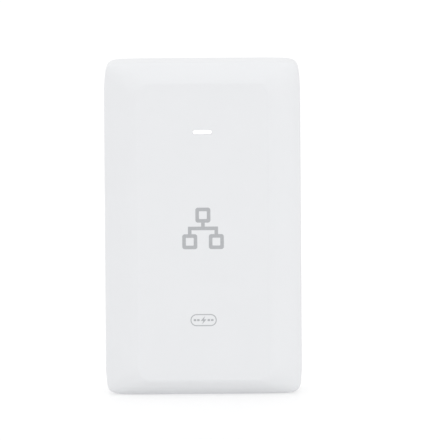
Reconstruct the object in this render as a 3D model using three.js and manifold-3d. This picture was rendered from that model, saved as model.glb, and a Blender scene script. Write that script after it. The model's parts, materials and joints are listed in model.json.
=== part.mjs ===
// A mains-powered PoE injector: a white moulded case that stands on its connector end, with the circuit
// board, the connectors, the light pipe and the slide-on wall bracket that it is assembled from.
// Millimetres. +Z is up, -Y is the front, and the origin is the middle of the base.

import * as THREE from "three";
import Module from "manifold-3d";
import { mergeVertices } from "three/addons/utils/BufferGeometryUtils.js";

const wasm = await Module();
wasm.setup();

// ---------------------------------------------------------------- driving dimensions

// The case. Its front edges roll over in a wide curve that is nearly a chamfer, as the low roll power
// makes it, and which is shorter at the base. Its outline has tight square corners.
const WIDTH = 66;
const HEIGHT = 112;
const FRONT_Y = -20;
const REAR_Y = 18.4;
const FRONT_ROLL = { x: 11, y: 8, z: 7.3, low: 5.3 };
const FRONT_ROLL_POWER = 1.45;
const REAR_ROLL = { x: 4, y: 4, z: 4, low: 4 };
const FACE_CORNER = 5;
const CORNER_POWER = { face: 2.2, side: 7 };
const BOW = { x: 0.85, z: 0.4, reach: 10 };
const WALL = 2.2;
const FACE_WALL = 2.4;

// The seam between the two covers, and the rear cover's tongue inside it.
const SEAM_Y = 13;
const SEAM_GAP = 0.3;
const TONGUE = { gap: 0.3, thick: 1.1, front: 11.4 };

// The circuit board. Its parts stand on its front face.
const BOARD = { width: 60, low: 4, high: 107, front: 9.4, back: 11, corner: 3 };

// The connectors on the base, from left to right: mains inlet, LAN jack and PoE jack.
const MOUTH_Z = 0.8;
const INLET = { x: -18.9, y: 1, width: 19.4, depth: 16.4, back: 16.5, recess: 12.2, gap: 0.3 };
const INLET_LOBE = 3.75;
const INLET_WEB = { low: 5, high: 5, narrow: 2.6, wide: 6.6, shoulder: 4.5, shoulderY: 1.5 };
const INLET_PIN = { radius: 1.25, tip: 3, spread: 4.5, offset: 3, end: 19 };
const JACK = { width: 15.9, low: -4, high: 9.2, back: 22, skin: 0.4, play: 0.06, gap: 0.3 };
const JACK_X = { lan: 3.55, poe: 20.65 };
const PLUG = { width: 11.9, high: 7.2, low: 0.3, back: 16, wires: 8, pitch: 1.02 };
const PLUG_STEPS = [
  { width: 6.2, low: -1.2 },
  { width: 3.6, low: -2.4 },
];
const CONTACT = { width: 0.44, thick: 0.34, rootZ: 3.6, rootTall: 0.9, tipY: 4.9, tipZ: 13.2 };

// The status light.
const LIGHT = { z: 88.7, width: 6.5, height: 1.45, gap: 0.12, sunk: 0.12, back: 7.6 };
const LIGHT_SHOULDER = { spare: 1.2, half: 1.6, gap: 0.3, thick: 0.8 };
const LIGHT_ROD = { halfX: 1.6, halfZ: 0.9 };
const LED_HALF = { x: 1.6, z: 0.8 };

// The four screws that hold the covers together through the board.
const SCREW = { x: 27.1, z: [29, 103.5], shank: 1.3, head: 2.6, headDeep: 1.9, tip: -1, sink: 1.2 };
const SCREW_CROSS = { long: 1.5, short: 0.35, deep: 1 };
const BOSS = { radius: 3.2, pilot: 1.65, gap: 0.3 };

// The wall bracket and the channel that it slides up and out of.
const CHANNEL = { half: 21.5, groove: 23.6, low: 22, floor: 15, lip: 16.8, skin: 1.8, side: 1.6 };
const BRACKET = { half: 21.1, flange: 23.2, low: 22.6, high: 98, inner: 15.3, step: 16.5, outer: 20 };
const BRACKET_PLATE = { inner: 16.3, outer: 18.2, rim: 1.8, corner: 3 };
const BRACKET_PAD = { half: 8, low: 46, high: 95.5 };
const BRACKET_FLANGE = { low: 25.6, high: 92 };
const BRACKET_HOLES = { radius: 2.2, sink: 4.1, deep: 2, z: [54, 88] };
const LATCH = { half: 6.6, slot: 0.5, root: 42, low: 20.6, inner: 16, outer: 17.2 };
const BARB = { y: 15.3, low: 27.4, rampLow: 27.6, rampHigh: 29.6, high: 31 };
const LATCH_LIP = { out: 0.9, tall: 2.6, edge: 0.6 };

// The pocket in the channel that the latch's barb stands over, and the scoop that a finger reaches it by.
const CATCH = { half: 5, low: 27, high: 30, deep: 1 };
const SCOOP = { radius: 9, floor: 7, z: 21, bottom: 15, flare: 9, wall: 1.6 };

const ROUND = 20;

// ---------------------------------------------------------------- solids

// A closed geometry as a manifold-3d solid.
function solid(geometry) {
  const bare = geometry.clone();
  bare.deleteAttribute("normal");
  bare.deleteAttribute("uv");
  const merged = mergeVertices(bare, 1e-4);
  const mesh = new wasm.Mesh({
    numProp: 3,
    vertProperties: merged.attributes.position.array,
    triVerts: new Uint32Array(merged.index.array),
  });
  return new wasm.Manifold(mesh);
}

// A solid's surface as a geometry that three.js can draw.
function geometryOf(made) {
  const mesh = made.getMesh();
  const geometry = new THREE.BufferGeometry();
  geometry.setAttribute("position", new THREE.BufferAttribute(mesh.vertProperties, 3));
  geometry.setIndex(new THREE.BufferAttribute(mesh.triVerts, 1));
  const flat = geometry.toNonIndexed();
  flat.computeVertexNormals();
  return flat;
}

function unite(solids) {
  return solids.reduce((all, next) => all.add(next));
}

function cut(body, tools) {
  return tools.reduce((left, tool) => left.subtract(tool), body);
}

// A box from its lowest and highest x, y and z.
function box([x0, x1], [y0, y1], [z0, z1]) {
  const geometry = new THREE.BoxGeometry(x1 - x0, y1 - y0, z1 - z0);
  geometry.translate((x0 + x1) / 2, (y0 + y1) / 2, (z0 + z1) / 2);
  return solid(geometry);
}

// The matrices that turn an extrusion along local z to run along X, or along Y with the shape in (x, z).
const ALONG = {
  x: new THREE.Matrix4().makeBasis(
    new THREE.Vector3(0, 1, 0),
    new THREE.Vector3(0, 0, 1),
    new THREE.Vector3(1, 0, 0),
  ),
  y: new THREE.Matrix4().makeRotationX(Math.PI / 2),
  z: new THREE.Matrix4(),
};

// A shape extruded along an axis: (y, z) shapes along x, (x, z) shapes along y, (x, y) shapes along z.
function prism(shape, axis, from, to, curveSegments = 6) {
  const depth = to - from;
  const geometry = new THREE.ExtrudeGeometry(shape, { depth, bevelEnabled: false, curveSegments });
  geometry.applyMatrix4(ALONG[axis]);
  const start = axis === "y" ? to : from;
  geometry.translate(axis === "x" ? start : 0, axis === "y" ? start : 0, axis === "z" ? start : 0);
  return solid(geometry);
}

function polygon(points) {
  return new THREE.Shape(points.map(([u, v]) => new THREE.Vector2(u, v)));
}

function roundedRectangle(centreU, centreV, width, height, radius) {
  const u = centreU - width / 2;
  const v = centreV - height / 2;
  const shape = new THREE.Shape();
  shape.moveTo(u + radius, v);
  shape.lineTo(u + width - radius, v);
  shape.absarc(u + width - radius, v + radius, radius, -Math.PI / 2, 0);
  shape.lineTo(u + width, v + height - radius);
  shape.absarc(u + width - radius, v + height - radius, radius, 0, Math.PI / 2);
  shape.lineTo(u + radius, v + height);
  shape.absarc(u + radius, v + height - radius, radius, Math.PI / 2, Math.PI);
  shape.lineTo(u, v + radius);
  shape.absarc(u + radius, v + radius, radius, Math.PI, Math.PI * 1.5);
  return shape;
}

// A solid of revolution from (radius, distance) points that start and end on its axis.
const TURN = {
  x: new THREE.Matrix4().makeRotationZ(-Math.PI / 2),
  y: new THREE.Matrix4(),
  z: new THREE.Matrix4().makeRotationX(Math.PI / 2),
};

function turned(profile, axis, [x, y, z], segments = ROUND) {
  const points = profile.map(([radius, along]) => new THREE.Vector2(radius, along));
  const geometry = new THREE.LatheGeometry(points, segments);
  geometry.applyMatrix4(TURN[axis]);
  geometry.translate(x, y, z);
  return solid(geometry);
}

function cylinder(axis, radius, from, to, [u, v], segments = ROUND) {
  const at = { x: [0, u, v], y: [u, 0, v], z: [u, v, 0] }[axis];
  const profile = [
    [0, from],
    [radius, from],
    [radius, to],
    [0, to],
  ];
  return turned(profile, axis, at, segments);
}

function cone(axis, radiusFrom, radiusTo, from, to, [u, v]) {
  const at = { x: [0, u, v], y: [u, 0, v], z: [u, v, 0] }[axis];
  const profile = [
    [0, from],
    [radiusFrom, from],
    [radiusTo, to],
    [0, to],
  ];
  return turned(profile, axis, at);
}

// A closed skin through outlines of equal length, given in order from the front to the rear.
function loft(rings) {
  const count = rings[0].length;
  const points = rings.flat();
  const faces = [];
  for (let ring = 0; ring + 1 < rings.length; ring += 1) {
    for (let i = 0; i < count; i += 1) {
      const here = ring * count + i;
      const next = ring * count + ((i + 1) % count);
      faces.push(here, here + count, next, next, here + count, next + count);
    }
  }
  for (const [ring, flip] of [
    [0, false],
    [rings.length - 1, true],
  ]) {
    const centre = points.length;
    const y = rings[ring][0].y;
    points.push(new THREE.Vector3(0, y, HEIGHT / 2));
    for (let i = 0; i < count; i += 1) {
      const here = ring * count + i;
      const next = ring * count + ((i + 1) % count);
      faces.push(centre, flip ? next : here, flip ? here : next);
    }
  }
  const geometry = new THREE.BufferGeometry().setFromPoints(points);
  geometry.setIndex(faces);
  return solid(geometry);
}

// ---------------------------------------------------------------- the case's outer form

// How far an edge bows inwards near the end of its neighbour.
function bowAt(distance, half) {
  const share = Math.max(0, (Math.abs(distance) - (half - BOW.reach)) / BOW.reach);
  return share * share;
}

// One outline of the case in the plane y: a rectangle with superellipse corners and slightly bowed sides.
function outline(y, half, corner, power, bow, steps = 7) {
  const points = [];
  const bowStart = half.z - Math.max(corner.z, BOW.reach);
  for (let quarter = 0; quarter < 4; quarter += 1) {
    const signX = quarter === 0 || quarter === 3 ? 1 : -1;
    const signZ = quarter < 2 ? 1 : -1;
    const reach = signZ < 0 ? half.drop : 0;
    const run = [[half.x, bowStart]];
    for (let step = 0; step <= steps; step += 1) {
      const angle = ((step / steps) * Math.PI) / 2;
      const u = Math.max(0, Math.cos(angle)) ** (2 / power);
      const w = Math.max(0, Math.sin(angle)) ** (2 / power);
      run.push([half.x - corner.x * (1 - u), half.z - corner.z * (1 - w)]);
    }
    if (quarter % 2 === 1) {
      run.reverse();
    }
    for (const [x, z] of run) {
      const bowedX = x - (bow * BOW.x * bowAt(z, half.z) * x) / half.x;
      const bowedZ = z - (bow * BOW.z * bowAt(x, half.x) * z) / half.z;
      points.push(new THREE.Vector3(signX * bowedX, y, HEIGHT / 2 + signZ * (bowedZ + reach)));
    }
  }
  return points;
}

// The case's outline where its front or rear roll is at a share s of its full size, taken in by inset.
function sectionAt(y, s, roll, inset) {
  const half = {
    x: WIDTH / 2 - inset - (roll.x - inset) * (1 - s),
    z: HEIGHT / 2 - inset - (roll.z - inset) * (1 - s),
    drop: (roll.z - roll.low) * (1 - s),
  };
  const face = Math.min(FACE_CORNER, roll.x) * 0.9;
  const full = { x: FRONT_ROLL.x - inset, z: FRONT_ROLL.z - inset };
  const corner = { x: face + (full.x - face) * s, z: face + (full.z - face) * s };
  const power = CORNER_POWER.face + (CORNER_POWER.side - CORNER_POWER.face) * s * s;
  return outline(y, half, corner, power, s);
}

function frontRings(inset, frontY, steps = 6) {
  const depth = FRONT_ROLL.y - inset;
  const rings = [];
  for (let step = 0; step <= steps; step += 1) {
    const angle = ((step / steps) * Math.PI) / 2;
    const y = frontY + depth * (1 - Math.max(0, Math.cos(angle)) ** (2 / FRONT_ROLL_POWER));
    rings.push(sectionAt(y, Math.sin(angle) ** (2 / FRONT_ROLL_POWER), FRONT_ROLL, inset));
  }
  return rings;
}

function rearRings(steps = 4) {
  const rings = [];
  for (let step = 0; step <= steps; step += 1) {
    const angle = ((step / steps) * Math.PI) / 2;
    const y = REAR_Y - REAR_ROLL.y * (1 - Math.sin(angle));
    rings.push(sectionAt(y, Math.cos(angle), REAR_ROLL, 0));
  }
  return rings;
}

function straightSection(y, inset) {
  return sectionAt(y, 1, FRONT_ROLL, inset);
}

// ---------------------------------------------------------------- materials

function plastic(color, roughness) {
  return new THREE.MeshStandardMaterial({ color, roughness, metalness: 0 });
}

function metal(color, roughness) {
  return new THREE.MeshStandardMaterial({ color, roughness, metalness: 1 });
}

const MATERIAL = {
  caseWhite: plastic(0xebecee, 0.45),
  bracketWhite: plastic(0xe4e5e7, 0.5),
  lightPipe: plastic(0xffffff, 0.2),
  black: plastic(0x1b1b1d, 0.5),
  board: plastic(0x1f5a3a, 0.5),
  steel: metal(0xb9bcc0, 0.35),
  nickel: metal(0xc9c7c0, 0.25),
  gold: metal(0xd9b25a, 0.25),
  aluminium: metal(0xc4c7ca, 0.4),
  ferrite: plastic(0x35363a, 0.6),
  copper: metal(0xb46a3c, 0.35),
  tape: plastic(0xd9b13c, 0.4),
  sleeve: plastic(0x23262c, 0.4),
  filmBox: plastic(0xd8bf3e, 0.45),
  ceramicBlue: plastic(0x2f6fae, 0.4),
  padGrey: plastic(0x8f9aa6, 0.9),
  insulation: plastic(0xe9e6dc, 0.4),
};

const injector = new THREE.Group();

function add(name, made, material) {
  const mesh = new THREE.Mesh(geometryOf(made), MATERIAL[material]);
  mesh.name = name;
  injector.add(mesh);
}

// ---------------------------------------------------------------- covers

const screwPlaces = [];
for (const side of [-1, 1]) {
  for (const z of SCREW.z) {
    screwPlaces.push([side * SCREW.x, z]);
  }
}

// The rectangle that a connector fills in the base, grown by a gap on every side.
function connectorPocket(centreX, width, lowY, highY, back, gap) {
  const x = [centreX - width / 2 - gap, centreX + width / 2 + gap];
  return box(x, [lowY - gap, highY + gap], [-1, back + 1]);
}

function lightSlot(gap, from, to) {
  const width = LIGHT.width - 2 * gap;
  const height = LIGHT.height - 2 * gap;
  const shape = roundedRectangle(0, LIGHT.z, width, height, height / 2 - 0.01);
  return prism(shape, "y", from, to, 5);
}

function makeFrontCover() {
  const innerFrontY = FRONT_Y + FACE_WALL;
  const outer = loft([...frontRings(0, FRONT_Y), straightSection(SEAM_Y, 0)]);
  const inner = loft([...frontRings(WALL, innerFrontY), straightSection(SEAM_Y + 1, WALL)]);
  const bossTop = BOARD.front - BOSS.gap;
  const posts = screwPlaces.map((at) => cylinder("y", BOSS.radius, FRONT_Y, bossTop, at));
  const skin = WALL / 2;
  const bossLimit = loft([...frontRings(skin, FRONT_Y + skin), straightSection(SEAM_Y, skin)]);
  const bosses = posts.map((post) => post.intersect(bossLimit));
  const pilots = screwPlaces.map((at) => cylinder("y", BOSS.pilot, SCREW.tip - 1.5, bossTop + 1, at));
  const inletLow = INLET.y - INLET.depth / 2;
  const inletHigh = INLET.y + INLET.depth / 2;
  const pockets = [
    connectorPocket(INLET.x, INLET.width, inletLow, inletHigh, INLET.back, INLET.gap),
    ...Object.values(JACK_X).map((x) =>
      connectorPocket(x, JACK.width, JACK.low, JACK.high, JACK.back, JACK.gap),
    ),
  ];
  const slot = lightSlot(0, FRONT_Y - 1, innerFrontY + 1);
  const shell = cut(outer, [inner]);
  return cut(unite([shell, ...bosses]), [...pilots, ...pockets, slot]);
}

// The rear cover's tongue: a thin wall that stands inside the front cover behind the seam.
function makeTongue() {
  const outside = WALL + TONGUE.gap;
  const inside = outside + TONGUE.thick;
  const solidTongue = loft([straightSection(TONGUE.front, outside), straightSection(SEAM_Y + 2, outside)]);
  const hollow = loft([straightSection(TONGUE.front - 1, inside), straightSection(SEAM_Y + 3, inside)]);
  return cut(solidTongue, [hollow]);
}

function makeRearCover() {
  const front = SEAM_Y + SEAM_GAP;
  const outer = loft([straightSection(front, 0), ...rearRings()]);
  const roof = REAR_Y - WALL;
  const inner = loft([straightSection(front - 1, WALL), straightSection(roof, WALL)]);
  const blockHalf = CHANNEL.groove + CHANNEL.side;
  const blockFront = CHANNEL.floor - CHANNEL.skin;
  const blockLow = CHANNEL.low - CHANNEL.side;
  const block = box([-blockHalf, blockHalf], [blockFront, REAR_Y - 1], [blockLow, HEIGHT - WALL - 1]);
  const tubes = screwPlaces.map((at) =>
    cylinder("y", BOSS.radius, BOARD.back + BOSS.gap, REAR_Y - 1, at),
  );
  const channelTop = HEIGHT + 2;
  const channel = box(
    [-CHANNEL.half, CHANNEL.half],
    [CHANNEL.floor, REAR_Y + 1],
    [CHANNEL.low, channelTop],
  );
  const grooves = box(
    [-CHANNEL.groove, CHANNEL.groove],
    [CHANNEL.floor, CHANNEL.lip],
    [CHANNEL.low, channelTop],
  );
  const catchPocket = box(
    [-CATCH.half, CATCH.half],
    [CHANNEL.floor - CATCH.deep, CHANNEL.floor + 1],
    [CATCH.low, CATCH.high],
  );
  const scoop = turned(
    [
      [0, 0],
      [SCOOP.floor, 0],
      [SCOOP.radius, SCOOP.flare],
      [SCOOP.radius, 2 * SCOOP.flare],
      [0, 2 * SCOOP.flare],
    ],
    "y",
    [0, SCOOP.bottom, SCOOP.z],
  );
  const scoopWall = cylinder("y", SCOOP.radius + SCOOP.wall, blockFront, REAR_Y - 1, [0, SCOOP.z]);
  const bores = screwPlaces.map((at) => cylinder("y", BOSS.pilot, BOARD.back, REAR_Y + 1, at));
  const sinks = screwPlaces.map((at) => {
    const depth = SCREW.headDeep + SCREW.sink;
    return cylinder("y", SCREW.head + 0.4, REAR_Y - depth, REAR_Y + 1, at);
  });
  const tongue = makeTongue();
  const shell = cut(outer, [inner]);
  const whole = unite([shell, tongue, block, scoopWall, ...tubes]);
  return cut(whole, [channel, grooves, catchPocket, scoop, ...bores, ...sinks]);
}

function makeScrew([x, z]) {
  const seat = REAR_Y - SCREW.sink - SCREW.headDeep + BOSS.gap;
  const top = REAR_Y - SCREW.sink;
  const profile = [
    [0, SCREW.tip],
    [SCREW.shank * 0.5, SCREW.tip],
    [SCREW.shank, SCREW.tip + 2],
    [SCREW.shank, seat],
    [SCREW.head, seat],
    [SCREW.head, top - 0.6],
    [SCREW.head - 0.8, top],
    [0, top],
  ];
  const body = turned(profile, "y", [x, 0, z], 16);
  const { long, short, deep } = SCREW_CROSS;
  const recess = [
    [long, short],
    [short, long],
  ].map(([halfX, halfZ]) =>
    box([x - halfX, x + halfX], [top - deep, top + deep], [z - halfZ, z + halfZ]),
  );
  return cut(body, recess);
}

add("front_cover", makeFrontCover(), "caseWhite");
add("rear_cover", makeRearCover(), "caseWhite");
screwPlaces.forEach((at, index) => add(`cover_screw_${index + 1}`, makeScrew(at), "steel"));

// ---------------------------------------------------------------- status light

function makeLightPipe() {
  const innerFrontY = FRONT_Y + FACE_WALL;
  const { spare, half, gap, thick } = LIGHT_SHOULDER;
  const nose = lightSlot(LIGHT.gap, FRONT_Y + LIGHT.sunk, innerFrontY + gap + 0.1);
  const wide = LIGHT.width / 2 + spare;
  const shoulder = box(
    [-wide, wide],
    [innerFrontY + gap, innerFrontY + gap + thick],
    [LIGHT.z - half, LIGHT.z + half],
  );
  const rod = box(
    [-LIGHT_ROD.halfX, LIGHT_ROD.halfX],
    [innerFrontY + gap + thick - 0.1, LIGHT.back],
    [LIGHT.z - LIGHT_ROD.halfZ, LIGHT.z + LIGHT_ROD.halfZ],
  );
  return unite([nose, shoulder, rod]);
}

function makeStatusLed() {
  return box(
    [-LED_HALF.x, LED_HALF.x],
    [LIGHT.back + 0.3, BOARD.front],
    [LIGHT.z - LED_HALF.z, LIGHT.z + LED_HALF.z],
  );
}

add("light_pipe", makeLightPipe(), "lightPipe");
add("status_led", makeStatusLed(), "lightPipe");

// ---------------------------------------------------------------- wall bracket and its latch

// A bracket plate between two y planes, taken in by an inset all round.
function bracketPlate(inset, from, to) {
  const middle = (BRACKET.low + BRACKET.high) / 2;
  const height = BRACKET.high - BRACKET.low;
  const corner = BRACKET_PLATE.corner - inset;
  const shape = roundedRectangle(0, middle, 2 * (BRACKET.half - inset), height - 2 * inset, corner);
  return prism(shape, "y", from, to, 4);
}

// The bracket is a shallow pan: a plate with flanges that run in the case's grooves, a rim and a pad that
// stand against the wall, two countersunk holes through the pad, and a window for the latch.
function makeBracket() {
  const { inner, outer, rim } = BRACKET_PLATE;
  const pan = cut(bracketPlate(0, inner, BRACKET.outer), [
    bracketPlate(rim, outer, BRACKET.outer + 1),
  ]);
  const flange = box(
    [-BRACKET.flange, BRACKET.flange],
    [BRACKET.inner, BRACKET.step],
    [BRACKET_FLANGE.low, BRACKET_FLANGE.high],
  );
  const pad = box(
    [-BRACKET_PAD.half, BRACKET_PAD.half],
    [inner, BRACKET.outer],
    [BRACKET_PAD.low, BRACKET_PAD.high],
  );
  const slotHalf = LATCH.half + LATCH.slot;
  const window = box(
    [-slotHalf, slotHalf],
    [BRACKET.inner - 1, BRACKET.outer + 1],
    [BRACKET.low - 1, LATCH.root + BOSS.gap],
  );
  const { radius, sink, deep } = BRACKET_HOLES;
  const holes = BRACKET_HOLES.z.flatMap((z) => [
    cylinder("y", radius, BRACKET.inner - 1, BRACKET.outer + 1, [0, z]),
    cone("y", sink + 0.5, radius, BRACKET.inner - 0.5, BRACKET.inner + deep, [0, z]),
  ]);
  return cut(unite([pan, flange, pad]), [window, ...holes]);
}

// The latch is a springy leaf, drawn in (y, z), with a barb that faces the case and a lip for the finger.
function makeLatch() {
  const { inner, outer, low, root } = LATCH;
  const { out, tall, edge } = LATCH_LIP;
  const side = polygon([
    [inner, root],
    [inner, BARB.high],
    [BARB.y, BARB.rampHigh],
    [BARB.y, BARB.rampLow],
    [inner, BARB.low],
    [inner, low + 1],
    [inner + edge, low],
    [outer, low],
    [outer + out, low + edge],
    [outer + out, low + tall - 1],
    [outer, low + tall],
    [outer, root],
  ]);
  return prism(side, "x", -LATCH.half, LATCH.half);
}

add("wall_bracket", makeBracket(), "bracketWhite");
add("bracket_latch", makeLatch(), "bracketWhite");

// ---------------------------------------------------------------- mains inlet

const inletPins = {
  line: [INLET.x - INLET_PIN.spread, INLET.y + INLET_PIN.offset],
  neutral: [INLET.x + INLET_PIN.spread, INLET.y + INLET_PIN.offset],
  earth: [INLET.x, INLET.y - INLET_PIN.offset],
};

// The three-lobed socket: a round lobe about each pin, and a web between the lobes.
function inletRecess() {
  const lobes = Object.values(inletPins).map((at) =>
    cylinder("z", INLET_LOBE, MOUTH_Z - 1, INLET.recess, at, 28),
  );
  const { low, high, narrow, wide, shoulder, shoulderY } = INLET_WEB;
  const web = polygon([
    [INLET.x - narrow, INLET.y - low],
    [INLET.x + narrow, INLET.y - low],
    [INLET.x + wide, INLET.y + shoulderY],
    [INLET.x + shoulder, INLET.y + high],
    [INLET.x - shoulder, INLET.y + high],
    [INLET.x - wide, INLET.y + shoulderY],
  ]);
  return unite([...lobes, prism(web, "z", MOUTH_Z - 1, INLET.recess)]);
}

function makeInletHousing() {
  const shape = roundedRectangle(INLET.x, INLET.y, INLET.width, INLET.depth, 1.2);
  const block = prism(shape, "z", MOUTH_Z, INLET.back, 3);
  const holes = Object.values(inletPins).map((at) =>
    cylinder("z", INLET_PIN.radius + 0.25, INLET.recess - 1, INLET.back + 1, at),
  );
  return cut(block, [inletRecess(), ...holes]);
}

function makeInletPin([x, y]) {
  const { radius, tip, end } = INLET_PIN;
  const profile = [
    [0, tip],
    [radius * 0.55, tip],
    [radius, tip + 1],
    [radius, end - 1.5],
    [radius * 0.6, end - 1.5],
    [radius * 0.6, end],
    [0, end],
  ];
  return turned(profile, "z", [x, y, 0], 16);
}

add("mains_inlet_housing", makeInletHousing(), "black");
for (const [name, at] of Object.entries(inletPins)) {
  add(`inlet_pin_${name}`, makeInletPin(at), "nickel");
}

// ---------------------------------------------------------------- network jacks

// The room for a plug, grown by a margin: a wide body, and a stepped keyway for its latch on the front side.
function plugRoom(centreX, margin, from, to) {
  const body = box(
    [centreX - PLUG.width / 2 - margin, centreX + PLUG.width / 2 + margin],
    [PLUG.low - margin, PLUG.high + margin],
    [from, to],
  );
  const steps = PLUG_STEPS.map(({ width, low }) =>
    box(
      [centreX - width / 2 - margin, centreX + width / 2 + margin],
      [low - margin, PLUG.high],
      [from, to],
    ),
  );
  return unite([body, ...steps]);
}

function makeJackShield(x) {
  const half = JACK.width / 2;
  const inner = half - JACK.skin;
  const outer = box([x - half, x + half], [JACK.low, JACK.high], [MOUTH_Z, JACK.back]);
  const hollow = box(
    [x - inner, x + inner],
    [JACK.low + JACK.skin, JACK.high - JACK.skin],
    [MOUTH_Z + JACK.skin, JACK.back - JACK.skin],
  );
  return cut(outer, [hollow, plugRoom(x, 0.25, MOUTH_Z - 1, MOUTH_Z + 2)]);
}

function makeJackInsert(x) {
  const skin = JACK.skin + JACK.play;
  const half = JACK.width / 2 - skin;
  const body = box(
    [x - half, x + half],
    [JACK.low + skin, JACK.high - skin],
    [MOUTH_Z + skin, JACK.back - skin],
  );
  const comb = (PLUG.wires * PLUG.pitch) / 2 + 0.3;
  const combRoom = box([x - comb, x + comb], [PLUG.high - 0.1, PLUG.high + 1.1], [3, PLUG.back]);
  return cut(body, [plugRoom(x, 0, 0, PLUG.back), combRoom]);
}

// Eight springy wires that hang from one bar and slope into the plug's room.
function makeJackContacts(x) {
  const { width, thick, rootZ, rootTall, tipY, tipZ } = CONTACT;
  const rootY = PLUG.high + 0.3;
  const half = (PLUG.wires * PLUG.pitch) / 2;
  const bar = box([x - half, x + half], [rootY, rootY + 0.6], [rootZ, rootZ + rootTall]);
  const side = polygon([
    [rootY + 0.2, rootZ],
    [rootY + 0.5, rootZ],
    [tipY + thick, tipZ],
    [tipY, tipZ],
  ]);
  const wires = [];
  for (let wire = 0; wire < PLUG.wires; wire += 1) {
    const centre = x + (wire - (PLUG.wires - 1) / 2) * PLUG.pitch;
    wires.push(prism(side, "x", centre - width / 2, centre + width / 2));
  }
  return unite([bar, ...wires]);
}

for (const [name, x] of Object.entries(JACK_X)) {
  add(`${name}_jack_shield`, makeJackShield(x), "steel");
  add(`${name}_jack_insert`, makeJackInsert(x), "black");
  add(`${name}_jack_contacts`, makeJackContacts(x), "gold");
}

// ---------------------------------------------------------------- circuit board and its parts

const BOARD_TOP = BOARD.front - 0.05;
const BOARD_HOLE = 2;

function makeBoard() {
  const middle = (BOARD.low + BOARD.high) / 2;
  const shape = roundedRectangle(0, middle, BOARD.width, BOARD.high - BOARD.low, BOARD.corner);
  const plate = prism(shape, "y", BOARD.front, BOARD.back, 3);
  const holes = screwPlaces.map((at) => cylinder("y", BOARD_HOLE, BOARD.front - 1, BOARD.back + 1, at));
  return cut(plate, holes);
}

// A can capacitor with a rolled groove near its base, which is at the origin of its profile.
function makeCan(radius, length, axis, at) {
  const roll = 0.5;
  const profile = [
    [0, 0],
    [radius - roll, 0],
    [radius, roll],
    [radius, 4 * roll],
    [radius - roll, 5 * roll],
    [radius, 6 * roll],
    [radius, length - roll],
    [radius - roll, length],
    [0, length],
  ];
  const along = profile.map(([r, d]) => [r, -d]).reverse();
  return turned(along, axis, at, 18);
}

function ring(axis, outer, inner, from, to, at) {
  return cut(cylinder(axis, outer, from, to, at), [cylinder(axis, inner, from - 1, to + 1, at)]);
}

// A box on the board: its centre in x and z, its width in x, its length in z, and its height off the
// board, which a lift holds it clear of.
function onBoard({ x, z, width, length, height, lift = 0 }) {
  return box(
    [x - width / 2, x + width / 2],
    [BOARD_TOP - lift - height, BOARD_TOP - lift],
    [z - length / 2, z + length / 2],
  );
}

// A disc that stands on its leads, on edge, with its axis along x or z.
function discOnBoard({ axis, x, z, radius, thick }) {
  const leads = 1;
  const centreY = BOARD_TOP - radius - leads;
  const [middle, at] = axis === "x" ? [x, [centreY, z]] : [z, [x, centreY]];
  return cylinder(axis, radius, middle - thick / 2, middle + thick / 2, at);
}

add("main_board", makeBoard(), "board");

// The mains side: fuse, surge and inrush discs, filter capacitor, filter choke, rectifier and bulk store.
const FUSE = { x: -16.6, z: 24.8, radius: 4.1, height: 8 };
const VARISTOR = { axis: "x", x: -8.2, z: 27, radius: 4.8, thick: 3.4 };
const THERMISTOR = { axis: "z", x: -2.9, z: 28.4, radius: 3.2, thick: 2.6 };
const X_CAPACITOR = { x: -17, z: 38.2, width: 17.5, length: 8.5, height: 15 };

add("mains_fuse", cylinder("y", FUSE.radius, BOARD_TOP - FUSE.height, BOARD_TOP, [FUSE.x, FUSE.z]), "black");
add("varistor", discOnBoard(VARISTOR), "ceramicBlue");
add("inrush_thermistor", discOnBoard(THERMISTOR), "black");
add("x_capacitor", onBoard(X_CAPACITOR), "filmBox");

// The mains filter choke: a ferrite ring on edge with a winding on each side.
const CHOKE = { x: -16.8, z: 53.2, outer: 8, inner: 4, half: 3, cover: 1.3, gap: 0.25, lift: 0.4, part: 2.2 };
const CHOKE_Y = BOARD_TOP - CHOKE.outer - CHOKE.cover - CHOKE.lift;

function makeChokeWinding(side) {
  const { x, z, outer, inner, half, cover, gap, part } = CHOKE;
  const at = [x, CHOKE_Y];
  const wire = ring("z", outer + cover, inner - cover, z - half - cover, z + half + cover, at);
  const room = ring("z", outer + gap, inner - gap, z - half - gap, z + half + gap, at);
  const reach = outer + cover + 1;
  const wedge = box(
    side < 0 ? [x - reach, x - part] : [x + part, x + reach],
    [CHOKE_Y - reach, CHOKE_Y + reach],
    [z - reach, z + reach],
  );
  return wire.intersect(wedge).subtract(room);
}

function makeChokeCore() {
  const { x, z, outer, inner, half } = CHOKE;
  return ring("z", outer, inner, z - half, z + half, [x, CHOKE_Y]);
}

const BRIDGE = { x: -17, z: 62, width: 15, length: 3.8, height: 11, lift: 3 };
const BULK = { x: -16.2, z: 97.5, radius: 9, length: 31, lift: 0.1 };
const BULK_PLACE = [BULK.x, BOARD_TOP - BULK.radius - BULK.lift, BULK.z];

add("filter_choke_core", makeChokeCore(), "ferrite");
add("filter_choke_winding_left", makeChokeWinding(-1), "copper");
add("filter_choke_winding_right", makeChokeWinding(1), "copper");
add("bridge_rectifier", onBoard(BRIDGE), "black");
add("bulk_capacitor", makeCan(BULK.radius, BULK.length, "z", BULK_PLACE), "sleeve");

// An angle heat sink that stands across the board: a wall, and a wing along its far edge, up or down.
const SINK = { thick: 1.5, height: 17, wing: 4.5 };
const PRIMARY_SINK = { x: [-20, 8], z: 101.2, wing: "up" };
const OUTPUT_SINK = { x: [0.5, 16], z: 57.2, wing: "down" };

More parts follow.
